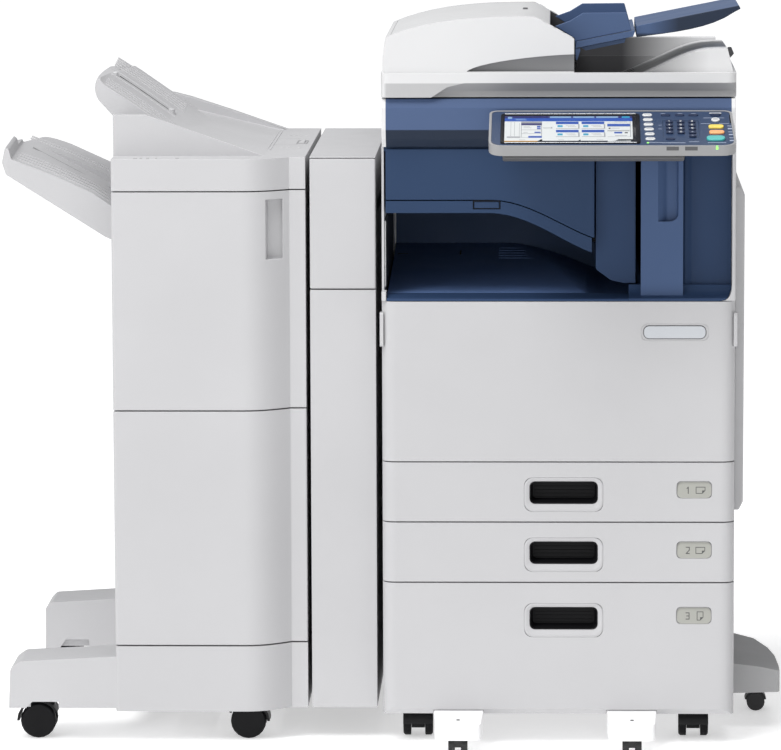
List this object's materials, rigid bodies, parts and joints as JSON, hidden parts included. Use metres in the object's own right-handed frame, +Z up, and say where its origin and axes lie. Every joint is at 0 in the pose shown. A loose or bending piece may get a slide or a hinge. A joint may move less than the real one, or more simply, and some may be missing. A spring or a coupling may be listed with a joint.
{
  "type": "photocopier",
  "caption": "Floor-standing photocopier with a document feeder, tilting touch panel, paper drawers, hole-punch relay and a stacking finisher, on casters.",
  "frame": {"origin": "centre of the whole machine's footprint rectangle, on the floor", "axes": "+X to the right of someone facing the machine, +Y towards its back, +Z up; the front faces -Y"},
  "size_m": [1.3168, 0.8268, 1.2344],
  "materials": {
    "steel": "zinc-grey painted sheet steel",
    "shell_plastic": "fine matt texture, warm light grey",
    "light_plastic": "smooth satin, near white",
    "blue_plastic": "fine matt texture, slate blue",
    "dark_plastic": "fine texture",
    "grey_plastic": "fine texture",
    "glass": "clear float glass",
    "screen": "gloss black",
    "teal_key": "satin",
    "orange_key": "satin",
    "yellow_key": "satin",
    "caster_body": "black nylon",
    "caster_tyre": "black polyurethane tread"
  },
  "bodies": {
    "main": {"main_frame": "steel", "left_cover": "shell_plastic", "right_cover": "shell_plastic", "rear_cover": "shell_plastic", "recess_liner": "blue_plastic", "inner_tray": "blue_plastic", "relay_unit": "blue_plastic", "toner_rack": "dark_plastic", "fuser_unit": "grey_plastic", "pedestal_frame": "shell_plastic", "front_foot_left": "light_plastic", "front_foot_right": "light_plastic", "side_foot_right": "grey_plastic", "scanner_body": "blue_plastic", "platen_glass": "glass", "panel_arm": "grey_plastic", "punch_unit": "shell_plastic", "finisher_base": "shell_plastic", "finisher_frame": "shell_plastic"},
    "front_cover": {"front_cover": "shell_plastic"},
    "relay_flap": {"relay_flap": "blue_plastic"},
    "scan_carriage": {"scan_carriage": "dark_plastic"},
    "feeder": {"adf_base": "light_plastic"},
    "feeder_cover": {"adf_cover": "light_plastic"},
    "document_tray": {"document_tray": "blue_plastic"},
    "tray_extension": {"tray_extension": "blue_plastic"},
    "guide_front": {"document_guide_front": "blue_plastic"},
    "guide_rear": {"document_guide_rear": "blue_plastic"},
    "control_panel": {"panel_housing": "light_plastic", "panel_face": "blue_plastic", "touch_screen": "screen", "ten_key_pad": "dark_plastic"},
    "start_key": {"start_key": "teal_key"},
    "stop_key": {"stop_key": "orange_key"},
    "clear_key": {"clear_key": "yellow_key"},
    "cassette_upper": {"cassette_upper": "shell_plastic"},
    "cassette_lower": {"cassette_lower": "shell_plastic"},
    "large_drawer": {"large_drawer": "shell_plastic"},
    "duplex_door": {"duplex_door": "shell_plastic"},
    "bypass_tray": {"bypass_tray": "shell_plastic"},
    "finisher_door": {"finisher_door": "shell_plastic"},
    "punch_door": {"punch_door": "shell_plastic"},
    "finisher_top": {"finisher_top": "shell_plastic"},
    "stack_tray": {"stack_tray": "shell_plastic"},
    "left_front_caster": {"left_front_caster_body": "caster_body"},
    "left_front_wheel": {"left_front_caster_wheel": "caster_tyre"},
    "right_front_caster": {"right_front_caster_body": "caster_body"},
    "right_front_wheel": {"right_front_caster_wheel": "caster_tyre"},
    "left_rear_caster": {"left_rear_caster_body": "caster_body"},
    "left_rear_wheel": {"left_rear_caster_wheel": "caster_tyre"},
    "right_rear_caster": {"right_rear_caster_body": "caster_body"},
    "right_rear_wheel": {"right_rear_caster_wheel": "caster_tyre"},
    "fin_left_front_caster": {"fin_left_front_caster_body": "caster_body"},
    "fin_left_front_wheel": {"fin_left_front_caster_wheel": "caster_tyre"},
    "fin_right_front_caster": {"fin_right_front_caster_body": "caster_body"},
    "fin_right_front_wheel": {"fin_right_front_caster_wheel": "caster_tyre"},
    "fin_left_rear_caster": {"fin_left_rear_caster_body": "caster_body"},
    "fin_left_rear_wheel": {"fin_left_rear_caster_wheel": "caster_tyre"},
    "fin_right_rear_caster": {"fin_right_rear_caster_body": "caster_body"},
    "fin_right_rear_wheel": {"fin_right_rear_caster_wheel": "caster_tyre"}
  },
  "joints": [
    {"name": "front_cover_hinge", "type": "hinge", "parent": "main", "child": "front_cover", "pos_m": [0.28139, -0.23659, 0.48], "axis": [1, 0, 0], "range_deg": [0, 90]},
    {"name": "relay_flap_hinge", "type": "hinge", "parent": "main", "child": "relay_flap", "pos_m": [0.16639, 0.26391, 0.903], "axis": [1, 0, 0], "range_deg": [0, 5]},
    {"name": "carriage_slide", "type": "slide", "parent": "main", "child": "scan_carriage", "axis": [1, 0, 0], "range_m": [0, 0.48]},
    {"name": "feeder_hinge", "type": "hinge", "parent": "main", "child": "feeder", "pos_m": [0.28139, 0.31141, 1.087], "axis": [-1, 0, 0], "range_deg": [0, 60]},
    {"name": "feeder_cover_hinge", "type": "hinge", "parent": "feeder", "child": "feeder_cover", "pos_m": [0.00379, -0.01159, 1.191], "axis": [0, -1, 0], "range_deg": [0, 75]},
    {"name": "document_tray_hinge", "type": "hinge", "parent": "feeder", "child": "document_tray", "pos_m": [0.31039, -0.02159, 1.17], "axis": [0, -1, 0], "range_deg": [0, 25]},
    {"name": "tray_extension_hinge", "type": "hinge", "parent": "document_tray", "child": "tray_extension", "pos_m": [0.41019, -0.03459, 1.202], "axis": [0, -1, 0], "range_deg": [0, 95]},
    {"name": "guide_front_slide", "type": "slide", "parent": "document_tray", "child": "guide_front", "axis": [0, 1, 0], "range_m": [0, 0.1]},
    {"name": "guide_rear_slide", "type": "slide", "parent": "document_tray", "child": "guide_rear", "axis": [0, -1, 0], "range_m": [0, 0.1]},
    {"name": "panel_tilt", "type": "hinge", "parent": "main", "child": "control_panel", "pos_m": [0.36739, -0.24859, 1.058], "axis": [-1, 0, 0], "range_deg": [0, 15]},
    {"name": "start_press", "type": "slide", "parent": "control_panel", "child": "start_key", "axis": [0, 0.2672, -0.9636], "range_m": [0, 0.0015], "stiffness_N_per_m": 400, "springref_m": -0.002},
    {"name": "stop_press", "type": "slide", "parent": "control_panel", "child": "stop_key", "axis": [0, 0.2672, -0.9636], "range_m": [0, 0.0015], "stiffness_N_per_m": 400, "springref_m": -0.002},
    {"name": "clear_press", "type": "slide", "parent": "control_panel", "child": "clear_key", "axis": [0, 0.2672, -0.9636], "range_m": [0, 0.0015], "stiffness_N_per_m": 400, "springref_m": -0.002},
    {"name": "cassette_upper_slide", "type": "slide", "parent": "main", "child": "cassette_upper", "axis": [0, -1, 0], "range_m": [0, 0.42]},
    {"name": "cassette_lower_slide", "type": "slide", "parent": "main", "child": "cassette_lower", "axis": [0, -1, 0], "range_m": [0, 0.42]},
    {"name": "large_drawer_slide", "type": "slide", "parent": "main", "child": "large_drawer", "axis": [0, -1, 0], "range_m": [0, 0.42]},
    {"name": "duplex_door_hinge", "type": "hinge", "parent": "main", "child": "duplex_door", "pos_m": [0.58439, 0.30441, 0.65], "axis": [0, 0, 1], "range_deg": [0, 60]},
    {"name": "bypass_hinge", "type": "hinge", "parent": "duplex_door", "child": "bypass_tray", "pos_m": [0.59199, 0.03841, 0.4299], "axis": [0, 1, 0], "range_deg": [0, 70]},
    {"name": "finisher_door_hinge", "type": "hinge", "parent": "main", "child": "finisher_door", "pos_m": [-0.46291, -0.22689, 0.747], "axis": [0, 0, -1], "range_deg": [0, 100]},
    {"name": "punch_door_hinge", "type": "hinge", "parent": "main", "child": "punch_door", "pos_m": [-0.13391, -0.18689, 0.873], "axis": [0, 0, -1], "range_deg": [0, 95]},
    {"name": "finisher_top_hinge", "type": "hinge", "parent": "main", "child": "finisher_top", "pos_m": [-0.30161, 0.41371, 0.9312], "axis": [-1, 0, 0], "range_deg": [0, 35]},
    {"name": "stack_tray_lift", "type": "slide", "parent": "main", "child": "stack_tray", "axis": [0, 0, 1], "range_m": [-0.55, 0]},
    {"name": "left_front_swivel", "type": "hinge", "parent": "main", "child": "left_front_caster", "pos_m": [0.04439, -0.13659, 0.023], "axis": [0, 0, 1], "continuous": true},
    {"name": "left_front_roll", "type": "hinge", "parent": "left_front_caster", "child": "left_front_wheel", "pos_m": [0.04439, -0.15259, 0.023], "axis": [1, 0, 0], "continuous": true},
    {"name": "right_front_swivel", "type": "hinge", "parent": "main", "child": "right_front_caster", "pos_m": [0.50939, -0.13659, 0.023], "axis": [0, 0, 1], "continuous": true},
    {"name": "right_front_roll", "type": "hinge", "parent": "right_front_caster", "child": "right_front_wheel", "pos_m": [0.50939, -0.15259, 0.023], "axis": [1, 0, 0], "continuous": true},
    {"name": "left_rear_swivel", "type": "hinge", "parent": "main", "child": "left_rear_caster", "pos_m": [0.04439, 0.28341, 0.023], "axis": [0, 0, 1], "continuous": true},
    {"name": "left_rear_roll", "type": "hinge", "parent": "left_rear_caster", "child": "left_rear_wheel", "pos_m": [0.04439, 0.26741, 0.023], "axis": [1, 0, 0], "continuous": true},
    {"name": "right_rear_swivel", "type": "hinge", "parent": "main", "child": "right_rear_caster", "pos_m": [0.50939, 0.28341, 0.023], "axis": [0, 0, 1], "continuous": true},
    {"name": "right_rear_roll", "type": "hinge", "parent": "right_rear_caster", "child": "right_rear_wheel", "pos_m": [0.50939, 0.26741, 0.023], "axis": [1, 0, 0], "continuous": true},
    {"name": "fin_left_front_swivel", "type": "hinge", "parent": "main", "child": "fin_left_front_caster", "pos_m": [-0.58161, -0.16859, 0.03], "axis": [0, 0, 1], "continuous": true},
    {"name": "fin_left_front_roll", "type": "hinge", "parent": "fin_left_front_caster", "child": "fin_left_front_wheel", "pos_m": [-0.59761, -0.16859, 0.03], "axis": [0, 1, 0], "continuous": true},
    {"name": "fin_right_front_swivel", "type": "hinge", "parent": "main", "child": "fin_right_front_caster", "pos_m": [-0.25761, -0.16859, 0.03], "axis": [0, 0, 1], "continuous": true},
    {"name": "fin_right_front_roll", "type": "hinge", "parent": "fin_right_front_caster", "child": "fin_right_front_wheel", "pos_m": [-0.24161, -0.16859, 0.03], "axis": [0, 1, 0], "continuous": true},
    {"name": "fin_left_rear_swivel", "type": "hinge", "parent": "main", "child": "fin_left_rear_caster", "pos_m": [-0.58161, 0.35541, 0.03], "axis": [0, 0, 1], "continuous": true},
    {"name": "fin_left_rear_roll", "type": "hinge", "parent": "fin_left_rear_caster", "child": "fin_left_rear_wheel", "pos_m": [-0.59761, 0.35541, 0.03], "axis": [0, 1, 0], "continuous": true},
    {"name": "fin_right_rear_swivel", "type": "hinge", "parent": "main", "child": "fin_right_rear_caster", "pos_m": [-0.25761, 0.35541, 0.03], "axis": [0, 0, 1], "continuous": true},
    {"name": "fin_right_rear_roll", "type": "hinge", "parent": "fin_right_rear_caster", "child": "fin_right_rear_wheel", "pos_m": [-0.24161, 0.35541, 0.03], "axis": [0, 1, 0], "continuous": true}
  ],
  "couplings": [
    {"joint": "guide_rear_slide", "follows": "guide_front_slide", "ratio": 1}
  ]
}
